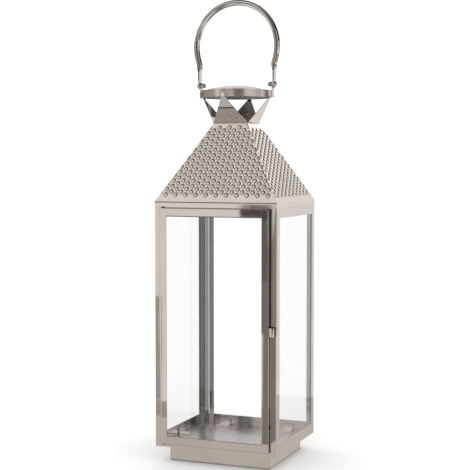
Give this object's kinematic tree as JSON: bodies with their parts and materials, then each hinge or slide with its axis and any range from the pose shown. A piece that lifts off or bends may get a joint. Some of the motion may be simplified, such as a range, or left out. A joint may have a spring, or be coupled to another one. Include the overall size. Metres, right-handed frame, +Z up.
{
  "type": "candle lantern",
  "caption": "Tall floor-standing candle lantern of polished sheet steel: glazed body with a hinged front door, embossed hipped roof, open crown with a round cap, and a swinging tube handle.",
  "frame": {"origin": "on the floor, under the middle of the lantern body", "axes": "+Z up, front with the door towards -Y, +X to the right when facing the door"},
  "size_m": [0.21, 0.1966, 0.7553],
  "materials": {
    "frame_steel": "polished stainless sheet with faint grain",
    "door_steel": "polished stainless sheet with faint grain",
    "plinth_steel": "polished stainless sheet with faint grain",
    "floor_steel": "polished stainless sheet, slightly dulled",
    "embossed_steel": "polished stainless sheet embossed with staggered bumps",
    "crown_steel": "mirror-polished stainless sheet",
    "cap_steel": "stainless, brushed round the axis",
    "handle_steel": "stainless tube, satin polished",
    "fastener_steel": "bright zinc and stainless hardware",
    "glass": "clear float glass"
  },
  "bodies": {
    "lantern_body": {"plinth_front": "plinth_steel", "bottom_rail_front": "frame_steel", "top_rail_front": "frame_steel", "roof_front": "embossed_steel", "crown_front": "crown_steel", "plinth_right": "plinth_steel", "bottom_rail_right": "frame_steel", "top_rail_right": "frame_steel", "roof_right": "embossed_steel", "crown_right": "crown_steel", "plinth_back": "plinth_steel", "bottom_rail_back": "frame_steel", "top_rail_back": "frame_steel", "roof_back": "embossed_steel", "crown_back": "crown_steel", "plinth_left": "plinth_steel", "bottom_rail_left": "frame_steel", "top_rail_left": "frame_steel", "roof_left": "embossed_steel", "crown_left": "crown_steel", "post_front_left": "frame_steel", "post_front_right": "frame_steel", "post_back_left": "frame_steel", "post_back_right": "frame_steel", "base_plate": "plinth_steel", "floor_plate": "floor_steel", "glass_left": "glass", "glass_right": "glass", "glass_back": "glass", "glass_angle": "frame_steel", "glass_clips_left": "frame_steel", "glass_clips_right": "frame_steel", "glass_clips_back": "frame_steel", "cap_ring": "cap_steel", "cap_dome": "cap_steel", "ear_right": "fastener_steel", "ear_left": "fastener_steel", "pivot_bolt_right": "fastener_steel", "pivot_bolt_left": "fastener_steel", "cap_nut_right": "fastener_steel", "cap_nut_left": "fastener_steel", "hinge_lug_bottom": "fastener_steel", "hinge_lug_top": "fastener_steel", "hinge_pin_bottom": "fastener_steel", "hinge_pin_top": "fastener_steel"},
    "door": {"door_stile_left": "door_steel", "door_stile_right": "door_steel", "door_rail_bottom": "door_steel", "door_rail_top": "door_steel", "door_glass": "glass", "door_glass_clips": "door_steel", "door_pull": "door_steel"},
    "handle": {"handle": "handle_steel"}
  },
  "joints": [
    {"name": "door_hinge", "type": "hinge", "parent": "lantern_body", "child": "door", "pos_m": [-0.0912, -0.0972, 0.0325], "axis": [0, 0, -1], "range_deg": [0, 175]},
    {"name": "handle_swing", "type": "hinge", "parent": "lantern_body", "child": "handle", "pos_m": [0, 0, 0.6162], "axis": [1, 0, 0], "range_deg": [-150, 150]}
  ]
}
